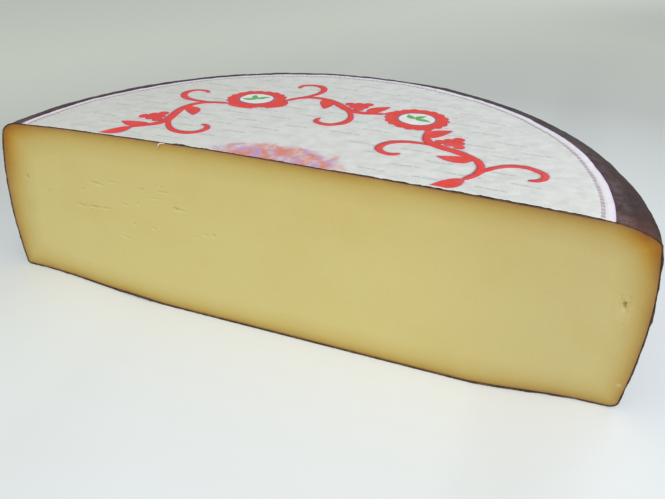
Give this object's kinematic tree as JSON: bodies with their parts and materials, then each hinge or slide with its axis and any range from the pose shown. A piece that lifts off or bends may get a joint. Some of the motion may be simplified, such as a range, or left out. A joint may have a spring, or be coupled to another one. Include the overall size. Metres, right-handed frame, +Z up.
{
  "type": "half wheel of red wine cheese",
  "caption": "Half wheel of semi-hard red wine cheese on its base, with a flat cut face of pale paste, a thin dark wine-stained rind, a rounded shoulder and a half-disc paper label on top.",
  "frame": {"origin": "middle of the footprint's box, on the surface that the cheese rests on", "axes": "+X to the right along the cut face, +Y to the back, away from the cut face, +Z up"},
  "size_m": [0.3098, 0.1544, 0.0908],
  "materials": {
    "paste": "smooth knife-cut cheese paste, pale straw, darker amber towards the rind",
    "rind": "dull dark plum-brown rind, mottled and finely cloth-marked",
    "paper": "thin uncoated white label paper, slightly cockled",
    "print": "flat printing ink on the label, mostly red, lilac and pale grey"
  },
  "bodies": {
    "root": {"cheese_half": "paste", "paper_label": "paper"}
  },
  "joints": []
}
